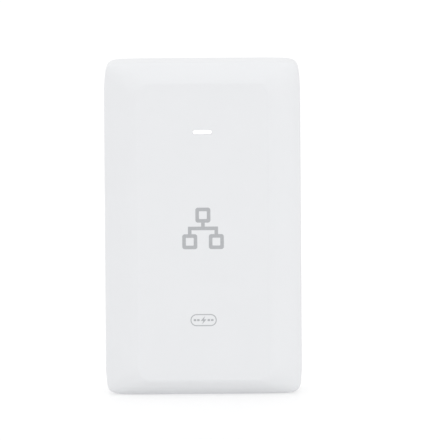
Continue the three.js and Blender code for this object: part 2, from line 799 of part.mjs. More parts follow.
function makeHeatSink({ x, z, wing }) {
  const wall = box(x, [BOARD_TOP - SINK.height, BOARD_TOP], [z, z + SINK.thick]);
  const wingZ = wing === "up" ? [z, z + SINK.wing] : [z + SINK.thick - SINK.wing, z + SINK.thick];
  const edge = [BOARD_TOP - SINK.height, BOARD_TOP - SINK.height + SINK.thick];
  return unite([wall, box(x, edge, wingZ)]);
}

const TRANSISTOR = { x: -1, z: 98.6, width: 10.2, length: 4.6, height: 11, lift: 3 };
const CONTROLLER = { x: 12, z: 92, width: 6, length: 5, height: 1.8 };

add("primary_heat_sink", makeHeatSink(PRIMARY_SINK), "aluminium");
add("switching_transistor", onBoard(TRANSISTOR), "black");
add("power_controller", onBoard(CONTROLLER), "black");

// Across the isolation gap: the coupler, the noise capacitor and the main transformer.
const Y_CAPACITOR = { axis: "z", x: -3.2, z: 40.8, radius: 3.8, thick: 3.4 };
const COUPLER = { x: -3.4, z: 50.5, width: 4.6, length: 6.4, height: 3.6 };

add("y_capacitor", discOnBoard(Y_CAPACITOR), "ceramicBlue");
add("optocoupler", onBoard(COUPLER), "black");

// The main transformer: a ferrite core with a round middle leg, and the wound bobbin about that leg.
const CORE = { x: 9.5, z: 72, width: 27, length: 24, height: 20, lift: 0.6 };
const CORE_FORM = { plate: 4, leg: 4.6, side: 2.8 };
const WINDING = { radius: 10.3, legGap: 0.35, plateGap: 0.4 };

function makeTransformerCore() {
  const { x, z, width, length, height, lift } = CORE;
  const { plate, leg, side } = CORE_FORM;
  const top = BOARD_TOP - lift;
  const room = box(
    [x - width / 2 + side, x + width / 2 - side],
    [top - height + plate, top - plate],
    [z - length, z + length],
  );
  const middle = cylinder("y", leg, top - height + 1, top - 1, [x, z]);
  return unite([cut(onBoard(CORE), [room]), middle]);
}

function makeTransformerWinding() {
  const { x, z, height, lift } = CORE;
  const { radius, legGap, plateGap } = WINDING;
  const top = BOARD_TOP - lift;
  const from = top - height + CORE_FORM.plate + plateGap;
  return ring("y", radius, CORE_FORM.leg + legGap, from, top - CORE_FORM.plate - plateGap, [x, z]);
}

add("transformer_core", makeTransformerCore(), "ferrite");
add("transformer_winding", makeTransformerWinding(), "tape");

// The output side: rectifier, smoothing capacitors, choke, PoE switch board and signal transformers.
const RECTIFIER = { x: 11, z: 54.6, width: 9.5, length: 4, height: 9, lift: 3.5 };
const OUTPUT_CAN = { x: 23, z: [54.5, 43.5], radius: 5, length: 19 };
const OUTPUT_CHOKE = { x: 9.4, z: 44.8, outer: 5.8, inner: 3, height: 6, lift: 1, turns: 12 };
const CHOKE_WIRE = { cover: 0.7, width: 1.1 };

// The output choke: a small ferrite ring flat on the board, wound with flat turns.
function makeOutputChoke() {
  const { x, z, outer, inner, height, lift, turns } = OUTPUT_CHOKE;
  const [low, high] = [BOARD_TOP - lift - height, BOARD_TOP - lift];
  const core = ring("y", outer, inner, low, high, [x, z]);
  const wires = [];
  for (let turn = 0; turn < turns; turn += 1) {
    const spare = 2 * CHOKE_WIRE.cover;
    const geometry = new THREE.BoxGeometry(outer - inner + spare, height + spare, CHOKE_WIRE.width);
    geometry.translate((outer + inner) / 2, (low + high) / 2, 0);
    geometry.rotateY((turn / turns) * Math.PI * 2);
    geometry.translate(x, 0, z);
    wires.push(solid(geometry));
  }
  return unite([core, ...wires]);
}

const SWITCH_BOARD = { x: 10.5, z: 35.4, width: 13, length: 1.2, height: 13 };
const SWITCH_CHIP = { x: 10.5, z: 36.7, width: 6, length: 1, height: 6, lift: 4 };
const LAN_MAGNETICS = { x: 7, z: 28, width: 12.6, length: 9.5, height: 6 };
const POE_MAGNETICS = { x: 18.2, z: 28.6, width: 8.4, length: 11, height: 6 };

add("output_heat_sink", makeHeatSink(OUTPUT_SINK), "aluminium");
add("output_rectifier", onBoard(RECTIFIER), "black");
OUTPUT_CAN.z.forEach((z, index) => {
  const can = makeCan(OUTPUT_CAN.radius, OUTPUT_CAN.length, "y", [OUTPUT_CAN.x, BOARD_TOP, z]);
  add(`output_capacitor_${index + 1}`, can, "sleeve");
});
add("output_choke", makeOutputChoke(), "copper");
add("poe_switch_board", onBoard(SWITCH_BOARD), "board");
add("poe_switch_chip", onBoard(SWITCH_CHIP), "black");
add("lan_magnetics", onBoard(LAN_MAGNETICS), "black");
add("poe_magnetics", onBoard(POE_MAGNETICS), "black");

// ---------------------------------------------------------------- heat and insulation layers

const SPREADER = { width: 42, low: 30, high: 100, back: FRONT_Y + FACE_WALL + 1.4, thick: 0.9, corner: 4 };
const SPREADER_WINDOW = { halfX: 5.2, halfZ: 2.4 };
const PAD = { halfX: 11, halfZ: 10, gap: 0.2 };
const SHEET = { width: 45, low: 18.5, high: 102.5, front: 12.5, back: 12.9, corner: 2 };

function makeHeatSpreader() {
  const { width, low, high, back, thick, corner } = SPREADER;
  const { halfX, halfZ } = SPREADER_WINDOW;
  const shape = roundedRectangle(0, (low + high) / 2, width, high - low, corner);
  const plate = prism(shape, "y", back - thick, back, 3);
  const room = box([-halfX, halfX], [back - 2 * thick, back + 1], [LIGHT.z - halfZ, LIGHT.z + halfZ]);
  return cut(plate, [room]);
}

function makeThermalPad() {
  const back = BOARD_TOP - CORE.lift - CORE.height - PAD.gap;
  return box(
    [CORE.x - PAD.halfX, CORE.x + PAD.halfX],
    [SPREADER.back + PAD.gap, back],
    [CORE.z - PAD.halfZ, CORE.z + PAD.halfZ],
  );
}

function makeInsulationSheet() {
  const { width, low, high, front, back, corner } = SHEET;
  const shape = roundedRectangle(0, (low + high) / 2, width, high - low, corner);
  return prism(shape, "y", front, back, 3);
}

add("heat_spreader", makeHeatSpreader(), "aluminium");
add("thermal_pad", makeThermalPad(), "padGrey");
add("insulation_sheet", makeInsulationSheet(), "insulation");

export default injector;
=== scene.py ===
"""The looks of an upright white PoE injector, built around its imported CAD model."""

import json
import math
from collections import namedtuple

import bmesh
import bpy
from mathutils import Matrix, Vector


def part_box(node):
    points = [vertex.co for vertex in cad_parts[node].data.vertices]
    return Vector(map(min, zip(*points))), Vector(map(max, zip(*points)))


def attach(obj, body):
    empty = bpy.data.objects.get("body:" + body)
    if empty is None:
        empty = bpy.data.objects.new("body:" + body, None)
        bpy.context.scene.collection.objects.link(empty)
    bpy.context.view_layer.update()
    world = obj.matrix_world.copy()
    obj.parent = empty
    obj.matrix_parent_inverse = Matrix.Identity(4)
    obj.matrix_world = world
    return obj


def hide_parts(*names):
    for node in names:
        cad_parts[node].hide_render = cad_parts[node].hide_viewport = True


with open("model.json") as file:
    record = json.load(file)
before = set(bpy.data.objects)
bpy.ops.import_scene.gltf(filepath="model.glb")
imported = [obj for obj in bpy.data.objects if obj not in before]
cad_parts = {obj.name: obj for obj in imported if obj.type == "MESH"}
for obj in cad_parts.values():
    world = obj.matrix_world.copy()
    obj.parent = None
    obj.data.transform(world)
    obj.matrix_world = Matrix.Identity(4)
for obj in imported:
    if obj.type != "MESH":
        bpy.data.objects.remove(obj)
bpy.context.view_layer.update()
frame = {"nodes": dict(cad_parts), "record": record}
nodes = frame["nodes"]
scene = bpy.context.scene
MM = 0.001

# ---------------------------------------------------------------- sizes, in metres, from the CAD frame

FRONT_LOW, FRONT_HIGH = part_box("front_cover")
REAR_LOW, REAR_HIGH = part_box("rear_cover")
HALF_X = FRONT_HIGH.x
HALF_Z = FRONT_HIGH.z / 2
FRONT_Y = FRONT_LOW.y
SEAM_Y = FRONT_HIGH.y
REAR_Y = REAR_HIGH.y
SEAM_GAP = 0.3 * MM
Roll = namedtuple("Roll", "x y z low")
FRONT_ROLL = Roll(11 * MM, 8 * MM, 7.3 * MM, 5.3 * MM)
FRONT_ROLL_POWER = 1.45
REAR_ROLL = Roll(4 * MM, 4 * MM, 4 * MM, 4 * MM)
FACE_CORNER = 4.5 * MM
FACE_CORNER_SHARE = 0.9
FACE_POWER = 2.2
SIDE_POWER = 7
BOW_X = 0.85 * MM
BOW_Z = 0.4 * MM
BOW_REACH = 10 * MM
WALL = 2.2 * MM
FACE_WALL = 2.4 * MM
EDGE = 0.25 * MM
INK_THICK = 0.02 * MM
FACE_Y = FRONT_Y + INK_THICK
SIDE_SHARES = (0.35, 0.7, 1.0)
CORNER_STEPS = 20
ROLL_STEPS = 18
EDGE_STEPS = 4
MERGE_REACH = 1e-7
SHARP_ANGLE = 32
NORMAL_WEIGHT = 80

# ---------------------------------------------------------------- mesh helpers


def new_object(name, verts, faces):
    """An object whose mesh is given by its corners and faces, with every face looking out."""
    mesh = bpy.data.meshes.new(name)
    mesh.from_pydata([tuple(v) for v in verts], [], faces)
    shaped = bmesh.new()
    shaped.from_mesh(mesh)
    bmesh.ops.remove_doubles(shaped, verts=shaped.verts, dist=MERGE_REACH)
    bmesh.ops.recalc_face_normals(shaped, faces=shaped.faces)
    shaped.to_mesh(mesh)
    shaped.free()
    made = bpy.data.objects.new(name, mesh)
    scene.collection.objects.link(made)
    return made


def apply_modifiers(made):
    """Bakes an object's modifiers into its mesh."""
    graph = bpy.context.evaluated_depsgraph_get()
    mesh = bpy.data.meshes.new_from_object(made.evaluated_get(graph))
    made.modifiers.clear()
    old = made.data
    made.data = mesh
    bpy.data.meshes.remove(old)


def combine(made, tools, operation):
    """Cuts the tools out of an object, or joins them to it, and removes the tools."""
    for tool in tools:
        step = made.modifiers.new("combine", "BOOLEAN")
        step.operation = operation
        step.object = tool
        step.solver = "MANIFOLD"
        apply_modifiers(made)
        bpy.data.objects.remove(tool)
    return made


def shade_smooth(made):
    made.data.polygons.foreach_set("use_smooth", [True] * len(made.data.polygons))


def smooth(made):
    """Smooth shading with sharp edges where two faces meet at more than the sharp angle."""
    shade_smooth(made)
    made.data.set_sharp_from_angle(angle=math.radians(SHARP_ANGLE))
    step = made.modifiers.new("normals", "WEIGHTED_NORMAL")
    step.keep_sharp = True
    step.weight = NORMAL_WEIGHT
    return made


def tapered(name, outline, far_outline, axis, low, high):
    """A closed solid between two outlines of (u, v) points: the two other axes in X, Y, Z order."""
    count = len(outline)
    verts = []
    for along, points in ((low, outline), (high, far_outline)):
        for u, v in points:
            verts.append({"x": (along, u, v), "y": (u, along, v), "z": (u, v, along)}[axis])
    faces = [tuple(range(count)), tuple(range(2 * count - 1, count - 1, -1))]
    for i in range(count):
        j = (i + 1) % count
        faces.append((i, j, j + count, i + count))
    return new_object(name, verts, faces)


def prism(name, outline, axis, low, high):
    """A closed outline run along an axis."""
    return tapered(name, outline, outline, axis, low, high)


def rounded_rectangle(centre_u, centre_v, width, height, radius, steps):
    points = []
    corners = ((1, 1), (-1, 1), (-1, -1), (1, -1))
    for index, (sign_u, sign_v) in enumerate(corners):
        for step in range(steps + 1):
            angle = math.radians(90 * index + 90 * step / steps)
            u = centre_u + sign_u * (width / 2 - radius) + radius * math.cos(angle)
            v = centre_v + sign_v * (height / 2 - radius) + radius * math.sin(angle)
            points.append((u, v))
    return points


def circle(centre_u, centre_v, radius, steps=48):
    points = []
    for step in range(steps):
        angle = 2 * math.pi * step / steps
        points.append((centre_u + radius * math.cos(angle), centre_v + radius * math.sin(angle)))
    return points


def block(name, x, y, z):
    outline = [(x[0], y[0]), (x[1], y[0]), (x[1], y[1]), (x[0], y[1])]
    return prism(name, outline, "z", *z)


# ---------------------------------------------------------------- the case's form


def bow_at(distance, half):
    share = max(0.0, (abs(distance) - (half - BOW_REACH)) / BOW_REACH)
    return share * share


def outline(y, half, corner, power, bow, drop):
    """One outline of the case: superellipse corners, slightly bowed sides, and a base let down by a drop."""
    points = []
    side_start = half[1] - max(corner[1], BOW_REACH)
    for quarter in range(4):
        sign_x = 1 if quarter in (0, 3) else -1
        sign_z = 1 if quarter < 2 else -1
        reach = drop if sign_z < 0 else 0
        run = [(half[0], side_start * share) for share in SIDE_SHARES]
        run.append((half[0], side_start + (half[1] - corner[1] - side_start) * 0.5))
        for step in range(CORNER_STEPS + 1):
            angle = math.pi / 2 * step / CORNER_STEPS
            u = max(0.0, math.cos(angle)) ** (2 / power)
            w = max(0.0, math.sin(angle)) ** (2 / power)
            run.append((half[0] - corner[0] * (1 - u), half[1] - corner[1] * (1 - w)))
        run.append(((half[0] - corner[0]) * 0.5, half[1]))
        if quarter % 2:
            run.reverse()
        for x, z in run:
            bowed_x = x - bow * BOW_X * bow_at(z, half[1]) * x / half[0]
            bowed_z = z - bow * BOW_Z * bow_at(x, half[0]) * z / half[1]
            points.append((sign_x * bowed_x, y, HALF_Z + sign_z * (bowed_z + reach)))
    return points


def section(y, share, roll, inset):
    """The case's outline where its roll is at a share of its full size, taken in by an inset."""
    half = (
        HALF_X - inset - (roll.x - inset) * (1 - share),
        HALF_Z - inset - (roll.z - inset) * (1 - share),
    )
    face = min(FACE_CORNER, roll.x * FACE_CORNER_SHARE)
    full = (FRONT_ROLL.x - inset, FRONT_ROLL.z - inset)
    corner = (face + (full[0] - face) * share, face + (full[1] - face) * share)
    power = FACE_POWER + (SIDE_POWER - FACE_POWER) * share * share
    return outline(y, half, corner, power, share, (roll.z - roll.low) * (1 - share))


def front_rings(inset, front_y):
    """Outlines from the face back over the front roll."""
    depth = FRONT_ROLL.y - inset
    rings = []
    for step in range(ROLL_STEPS + 1):
        angle = math.pi / 2 * step / ROLL_STEPS
        y = front_y + depth * (1 - max(0.0, math.cos(angle)) ** (2 / FRONT_ROLL_POWER))
        rings.append(section(y, math.sin(angle) ** (2 / FRONT_ROLL_POWER), FRONT_ROLL, inset))
    return rings


def rear_rings():
    """Outlines from the back forward over the rear roll."""
    rings = []
    for step in range(ROLL_STEPS + 1):
        angle = math.pi / 2 * step / ROLL_STEPS
        y = REAR_Y - REAR_ROLL.y * (1 - math.sin(angle))
        rings.append(section(y, math.cos(angle), REAR_ROLL, 0))
    return rings


def edge_rings(y, toward):
    """Outlines that round the rim of a cover at the seam, from its side to its end face."""
    rings = []
    for step in range(EDGE_STEPS + 1):
        angle = math.pi / 2 * step / EDGE_STEPS
        back = EDGE * (1 - math.sin(angle))
        rings.append(section(y - toward * back, 1, FRONT_ROLL, EDGE * (1 - math.cos(angle))))
    return rings


def loft(name, rings, looped=False):
    """A skin through outlines of equal length: capped at both ends, or looped from the last to the first."""
    count = len(rings[0])
    verts = [v for ring in rings for v in ring]
    faces = []
    for index in range(len(rings) if looped else len(rings) - 1):
        low, high = index * count, (index + 1) % len(rings) * count
        for i in range(count):
            j = (i + 1) % count
            faces.append((low + i, low + j, high + j, high + i))
    if not looped:
        faces.append(tuple(range(count)))
        last = (len(rings) - 1) * count
        faces.append(tuple(range(last + count - 1, last - 1, -1)))
    return new_object(name, verts, faces)


# ---------------------------------------------------------------- covers

LIGHT_LOW, LIGHT_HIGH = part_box("light_pipe")
LIGHT_Z = (LIGHT_LOW.z + LIGHT_HIGH.z) / 2
SLOT_WIDTH = 6.5 * MM
SLOT_HEIGHT = 1.45 * MM
SLOT_FLARE = 0.08 * MM
SLOT_STEPS = 10
SLOT_CLEAR = 0.01 * MM
ROUND_SLACK = 1e-6
POCKET_GAP = 0.3 * MM
POCKET_FLARE = 0.45 * MM
POCKET_OVERLAP = 0.1 * MM
POCKET_STEPS = 6
MAINS_POCKET_RADIUS = 1.5 * MM
JACK_POCKET_RADIUS = 0.5 * MM
CONNECTORS = ("mains_inlet_housing", "lan_jack_shield", "poe_jack_shield")
SCREWS = [f"cover_screw_{index}" for index in (1, 2, 3, 4)]


def slot_outline(grow):
    width, height = SLOT_WIDTH + 2 * grow, SLOT_HEIGHT + 2 * grow
    return rounded_rectangle(0, LIGHT_Z, width, height, height / 2 - ROUND_SLACK, SLOT_STEPS)


def pocket_cutters(node):
    """The pocket of a connector in the base, with its edge broken at the mouth."""
    low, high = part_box(node)
    centre = ((low.x + high.x) / 2, (low.y + high.y) / 2)
    size = (high.x - low.x + 2 * POCKET_GAP, high.y - low.y + 2 * POCKET_GAP)
    radius = MAINS_POCKET_RADIUS if node == "mains_inlet_housing" else JACK_POCKET_RADIUS

    def shape(grow):
        width, depth = size[0] + 2 * grow, size[1] + 2 * grow
        return rounded_rectangle(*centre, width, depth, radius + grow, POCKET_STEPS)

    well = prism("well", shape(0), "z", -MM, high.z + MM)
    wide, narrow = shape(POCKET_FLARE + MM), shape(-POCKET_OVERLAP)
    mouth = tapered("mouth", wide, narrow, "z", -MM, POCKET_FLARE + POCKET_OVERLAP)
    return [well, mouth]


def make_front_cover():
    outer = front_rings(0, FACE_Y) + edge_rings(SEAM_Y, 1)
    inner = front_rings(WALL, FRONT_Y + FACE_WALL)
    inner.append(section(SEAM_Y, 1, FRONT_ROLL, WALL))
    cover = loft("front_cover_shell", outer + inner[::-1])
    cutters = [tool for node in CONNECTORS for tool in pocket_cutters(node)]
    cutters.append(prism("slot", slot_outline(0), "y", FRONT_Y - MM, FRONT_Y + FACE_WALL + MM))
    wide, narrow = slot_outline(SLOT_FLARE), slot_outline(0)
    cutters.append(tapered("slot_edge", wide, narrow, "y", FACE_Y - SLOT_CLEAR, FACE_Y + SLOT_FLARE))
    combine(cover, cutters, "DIFFERENCE")
    return smooth(cover)


front_cover = make_front_cover()
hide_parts("front_cover")
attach(front_cover, "housing")

CHANNEL_HALF = 21.5 * MM
GROOVE_HALF = 23.6 * MM
CHANNEL_LOW = 22 * MM
CHANNEL_FLOOR = 15 * MM
GROOVE_LIP = 16.8 * MM
CHANNEL_SKIN = 1.8 * MM
CHANNEL_SIDE = 1.6 * MM
SCOOP_RADIUS = 9 * MM
SCOOP_FLOOR = 7 * MM
SCOOP_Z = 21 * MM
SCOOP_BOTTOM = 15 * MM
SCOOP_EDGE = 1 * MM
SCOOP_WALL = 1.6 * MM
SCOOP_FLARE = 9 * MM
SCOOP_STEPS = 72
SCOOP_EDGE_STEPS = 6
SCOOP_WALL_STEPS = 64
TONGUE_OUTER = WALL + 0.3 * MM
TONGUE_INNER = WALL + 1.4 * MM
TONGUE_REACH = 1.6 * MM
CATCH_HALF = 5 * MM
CATCH_DEEP = MM
CATCH_Z = (27 * MM, 30 * MM)
SINK_RADIUS = 3 * MM
SINK_DEEP = 1.9 * MM
BORE_RADIUS = 1.65 * MM
BORE_STEPS = 24


def scoop():
    """The finger scoop below the bracket's latch: a dish with a rounded floor edge."""
    flat = SCOOP_FLOOR - SCOOP_EDGE
    profile = [(flat, SCOOP_BOTTOM)]
    for step in range(SCOOP_EDGE_STEPS + 1):
        angle = math.pi / 2 * step / SCOOP_EDGE_STEPS
        reach, rise = SCOOP_EDGE * math.sin(angle), SCOOP_EDGE * (1 - math.cos(angle))
        profile.append((flat + reach, SCOOP_BOTTOM + rise))
    profile.append((SCOOP_RADIUS, SCOOP_BOTTOM + SCOOP_FLARE))
    rings = []
    for radius, along in profile:
        rings.append([(u, along, v) for u, v in circle(0, SCOOP_Z, radius, SCOOP_STEPS)])
    return loft("scoop", rings)


def rear_cover_additions(front, top):
    """The channel's walls, the scoop's wall and the tongue that enters the front cover."""
    side = GROOVE_HALF + CHANNEL_SIDE
    back = REAR_Y - MM
    block_z = (CHANNEL_LOW - CHANNEL_SIDE, top - WALL - MM)
    block_front = CHANNEL_FLOOR - CHANNEL_SKIN
    housing = block("housing", (-side, side), (block_front, back), block_z)
    round_wall = circle(0, SCOOP_Z, SCOOP_RADIUS + SCOOP_WALL, SCOOP_WALL_STEPS)
    scoop_wall = prism("scoop_wall", round_wall, "y", block_front, back)
    ends = (SEAM_Y - TONGUE_REACH, front + MM)
    rim = [section(y, 1, FRONT_ROLL, TONGUE_OUTER) for y in ends]
    hole = [section(y, 1, FRONT_ROLL, TONGUE_INNER) for y in ends[::-1]]
    tongue = loft("tongue", rim + hole, looped=True)
    return [housing, scoop_wall, tongue]


def rear_cover_cutters(top):
    """The bracket's channel and grooves, the scoop, the latch's pocket and the screws' holes."""
    channel_z = (CHANNEL_LOW, top + MM)
    catch_y = (CHANNEL_FLOOR - CATCH_DEEP, CHANNEL_FLOOR + MM)
    tools = [
        block("channel", (-CHANNEL_HALF, CHANNEL_HALF), (CHANNEL_FLOOR, REAR_Y + MM), channel_z),
        block("groove", (-GROOVE_HALF, GROOVE_HALF), (CHANNEL_FLOOR, GROOVE_LIP), channel_z),
        scoop(),
        block("catch", (-CATCH_HALF, CATCH_HALF), catch_y, CATCH_Z),
    ]
    for node in SCREWS:
        low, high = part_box(node)
        at = ((low.x + high.x) / 2, (low.z + high.z) / 2)
        tools.append(prism("sink", circle(*at, SINK_RADIUS), "y", high.y - SINK_DEEP, REAR_Y + MM))
        tools.append(prism("bore", circle(*at, BORE_RADIUS, BORE_STEPS), "y", SEAM_Y, REAR_Y + MM))
    return tools


def make_rear_cover():
    front = SEAM_Y + SEAM_GAP
    top = 2 * HALF_Z
    outer = rear_rings()[::-1] + edge_rings(front, -1)
    inner = [section(y, 1, FRONT_ROLL, WALL) for y in (front, REAR_Y - WALL)]
    cover = loft("rear_cover_shell", outer + inner)
    combine(cover, rear_cover_additions(front, top), "UNION")
    combine(cover, rear_cover_cutters(top), "DIFFERENCE")
    return smooth(cover)


rear_cover = make_rear_cover()
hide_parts("rear_cover")
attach(rear_cover, "housing")

# ---------------------------------------------------------------- camera

CAMERA_FAR = 4.0
CAMERA_ELEVATION = 3.6
CAMERA_ROLL = 0.4
SENSOR = 36.0
FIELD = 0.1485
AIM = Vector((5.74 * MM, 0, HALF_Z + 1.86 * MM))

camera_data = bpy.data.cameras.new("camera")
camera_data.sensor_width = SENSOR
camera_data.lens = SENSOR * CAMERA_FAR / FIELD
camera_data.clip_start = 0.1
camera_data.clip_end = 50
camera = bpy.data.objects.new("camera", camera_data)
scene.collection.objects.link(camera)
elevation = math.radians(CAMERA_ELEVATION)
camera.location = AIM + CAMERA_FAR * Vector((0, -math.cos(elevation), math.sin(elevation)))
turn = (AIM - camera.location).to_track_quat("-Z", "Y").to_matrix()
camera.rotation_euler = (turn @ Matrix.Rotation(-math.radians(CAMERA_ROLL), 3, "Z")).to_euler()
scene.camera = camera

# ---------------------------------------------------------------- materials


def principled(name):
    material = bpy.data.materials.new(name)
    material.use_nodes = True
    return material, material.node_tree, material.node_tree.nodes["Principled BSDF"]


def node(tree, kind, **values):
    made = tree.nodes.new(kind)
    for key, value in values.items():
        if key in made.inputs:
            made.inputs[key].default_value = value
        else:
            setattr(made, key, value)
    return made


def noise(tree, scale, detail):
    place = node(tree, "ShaderNodeTexCoord")
    made = node(tree, "ShaderNodeTexNoise", Scale=scale, Detail=detail, Roughness=NOISE_ROUGHNESS)
    tree.links.new(place.outputs["Object"], made.inputs["Vector"])
    return made.outputs["Fac"]


def ramp(tree, source, low, high, targets, at=(0.35, 0.65)):
    """Sends sockets a value between two colours or greys, by a 0 to 1 source."""
    made = node(tree, "ShaderNodeValToRGB")
    made.color_ramp.elements[0].position, made.color_ramp.elements[1].position = at
    made.color_ramp.elements[0].color = low
    made.color_ramp.elements[1].color = high
    tree.links.new(source, made.inputs["Fac"])
    for target in targets:
        tree.links.new(made.outputs["Color"], target)


def bump(tree, shader, height, strength, depth):
    made = node(tree, "ShaderNodeBump", Strength=strength, Distance=depth)
    tree.links.new(height, made.inputs["Height"])
    tree.links.new(made.outputs["Normal"], shader.inputs["Normal"])


def grey(value):
    return (value, value, value, 1)


def tone(colour, factor):
    return tuple(min(1, c * factor) for c in colour) + (1,)


def satin_plastic(name, colour, rough, grain_mm, texture_mm, variation):
    """Moulded plastic: a fine spark-eroded texture, faint flow variation and uneven gloss."""
    material, tree, shader = principled(name)
    low, high = tone(colour, 1 - variation), tone(colour, 1 + variation)
    ramp(tree, noise(tree, FLOW_SCALE, 4), low, high, [shader.inputs["Base Color"]])
    low, high = grey(rough - 0.04), grey(rough + 0.05)
    ramp(tree, noise(tree, GLOSS_SCALE, 5), low, high, [shader.inputs["Roughness"]])
    bump(tree, shader, noise(tree, 1 / (texture_mm * MM), 2), 0.35, grain_mm * MM)
    shader.inputs["IOR"].default_value = 1.5
    return material


def plain_metal(name, colour, rough, grain_mm, stretch):
    """Bare or plated metal with a rolled or drawn grain."""
    material, tree, shader = principled(name)
    shader.inputs["Metallic"].default_value = 1
    place = node(tree, "ShaderNodeTexCoord")
    mapping = node(tree, "ShaderNodeMapping", Scale=stretch)
    grain = node(tree, "ShaderNodeTexNoise", Scale=1 / (grain_mm * MM), Detail=4.0)
    tree.links.new(place.outputs["Object"], mapping.inputs["Vector"])
    tree.links.new(mapping.outputs["Vector"], grain.inputs["Vector"])
    fac = grain.outputs["Fac"]
    ramp(tree, fac, tone(colour, 0.95), tone(colour, 1.03), [shader.inputs["Base Color"]])
    low, high = grey(max(0.05, rough - 0.05)), grey(rough + 0.06)
    ramp(tree, fac, low, high, [shader.inputs["Roughness"]])
    bump(tree, shader, fac, 0.2, 0.01 * MM)
    return material


def frosted_light(name):
    """The light pipe's clear plastic, lit from behind by the status light."""
    material, tree, shader = principled(name)
    targets = [shader.inputs["Base Color"], shader.inputs["Emission Color"]]
    ramp(tree, noise(tree, 900, 3), grey(0.93), grey(1.0), targets)
    shader.inputs["Emission Strength"].default_value = 0.3
    shader.inputs["Roughness"].default_value = 0.25
    return material


def circuit_board(name):
    """Green solder mask over copper tracks."""
    material, tree, shader = principled(name)
    place = node(tree, "ShaderNodeTexCoord")
    tracks = node(tree, "ShaderNodeTexBrick", Scale=180.0)
    tracks.inputs["Mortar Size"].default_value = 0.012
    tracks.inputs["Color1"].default_value = (0.012, 0.10, 0.045, 1)
    tracks.inputs["Color2"].default_value = (0.016, 0.13, 0.06, 1)
    tracks.inputs["Mortar"].default_value = (0.008, 0.07, 0.03, 1)
    swap = node(tree, "ShaderNodeMapping", Rotation=(math.pi / 2, 0, 0))
    tree.links.new(place.outputs["Object"], swap.inputs["Vector"])
    tree.links.new(swap.outputs["Vector"], tracks.inputs["Vector"])
    tree.links.new(tracks.outputs["Color"], shader.inputs["Base Color"])
    ramp(tree, noise(tree, 400, 3), grey(0.28), grey(0.42), [shader.inputs["Roughness"]])
    bump(tree, shader, tracks.outputs["Fac"], 0.3, 0.03 * MM)
    return material


def wound_wire(name, colour, pitch_mm):
    """Round enamelled wire laid side by side, with painted shade darkening the grooves between turns."""
    material, tree, shader = principled(name)
    place = node(tree, "ShaderNodeTexCoord")
    scale = 1 / (pitch_mm * MM) / WAVE_TURN
    turns = node(tree, "ShaderNodeTexWave", Scale=scale, Distortion=0.4, Detail=1.0)
    turns.bands_direction = "Z"
    tree.links.new(place.outputs["Object"], turns.inputs["Vector"])
    fac = turns.outputs["Fac"]
    # Painted shade: the base colour darkens to 35% in the grooves between the turns, following the bump's
    # troughs.
    ramp(tree, fac, tone(colour, 0.35), tone(colour, 1), [shader.inputs["Base Color"]], (0.0, 0.6))
    shader.inputs["Metallic"].default_value = 0.7
    shader.inputs["Roughness"].default_value = 0.32
    bump(tree, shader, fac, 0.8, 0.2 * MM)
    return material


def printing_ink(name, colour):
    """Flat ink with a faint unevenness."""
    material, tree, shader = principled(name)
    low, high = tone(colour, 0.97), tone(colour, 1.03)
    ramp(tree, noise(tree, 1500, 2), low, high, [shader.inputs["Base Color"]])
    shader.inputs["Roughness"].default_value = 0.45
    return material


WHITE = (0.794, 0.803, 0.819)
BRACKET_GREY = (0.74, 0.75, 0.765)
INK_GREY = (0.445, 0.455, 0.472)
NOISE_ROUGHNESS = 0.55
FLOW_SCALE = 60
GLOSS_SCALE = 90
WAVE_TURN = 6.3
WIRE_PITCH = 0.7

# Colour, roughness, grain depth in mm, grain size in mm, colour variation.
PLASTICS = {
    "case_white": (WHITE, 0.42, 0.02, 0.3, 0.004),
    "bracket_white": (BRACKET_GREY, 0.5, 0.03, 0.4, 0.004),
    "black_plastic": ((0.018, 0.018, 0.020), 0.42, 0.03, 0.35, 0.15),
    "ceramic_blue": ((0.03, 0.11, 0.32), 0.3, 0.05, 0.8, 0.1),
    "film_yellow": ((0.60, 0.43, 0.05), 0.35, 0.03, 0.5, 0.05),
    "ferrite_grey": ((0.035, 0.035, 0.038), 0.55, 0.06, 0.5, 0.2),
    "capacitor_sleeve": ((0.012, 0.016, 0.03), 0.28, 0.02, 2.0, 0.2),
    "winding_tape": ((0.62, 0.42, 0.06), 0.3, 0.05, 1.5, 0.08),
    "pad_grey": ((0.22, 0.25, 0.28), 0.8, 0.08, 0.6, 0.1),
    "insulation_film": ((0.74, 0.71, 0.62), 0.35, 0.02, 1.0, 0.03),
}
# Colour, roughness, grain size in mm, stretch of the grain.
METALS = {
    "screw_steel": ((0.60, 0.61, 0.63), 0.32, 0.5, (1, 1, 1)),
    "shield_steel": ((0.66, 0.66, 0.65), 0.3, 0.25, (1, 1, 0.04)),
    "pin_nickel": ((0.72, 0.70, 0.66), 0.2, 0.3, (1, 1, 1)),
    "contact_gold": ((0.86, 0.62, 0.24), 0.22, 0.3, (1, 1, 1)),
    "aluminium": ((0.74, 0.75, 0.76), 0.38, 0.6, (1, 1, 0.05)),
}
MATERIALS = {
    "light_pipe": frosted_light("light_pipe"),
    "board_green": circuit_board("board_green"),
    "copper_wire": wound_wire("copper_wire", (0.55, 0.20, 0.07), WIRE_PITCH),
}
MATERIALS.update({slot: satin_plastic(slot, *look) for slot, look in PLASTICS.items()})
MATERIALS.update({slot: plain_metal(slot, *look) for slot, look in METALS.items()})


def paint(made, slot):
    made.data.materials.clear()
    made.data.materials.append(MATERIALS[slot])


for entry in frame["record"]["subparts"]:
    paint(nodes[entry["node"]], entry["material_slot"])
paint(front_cover, "case_white")
paint(rear_cover, "case_white")

# ---------------------------------------------------------------- printed marks

ink = printing_ink("ink_grey", INK_GREY)

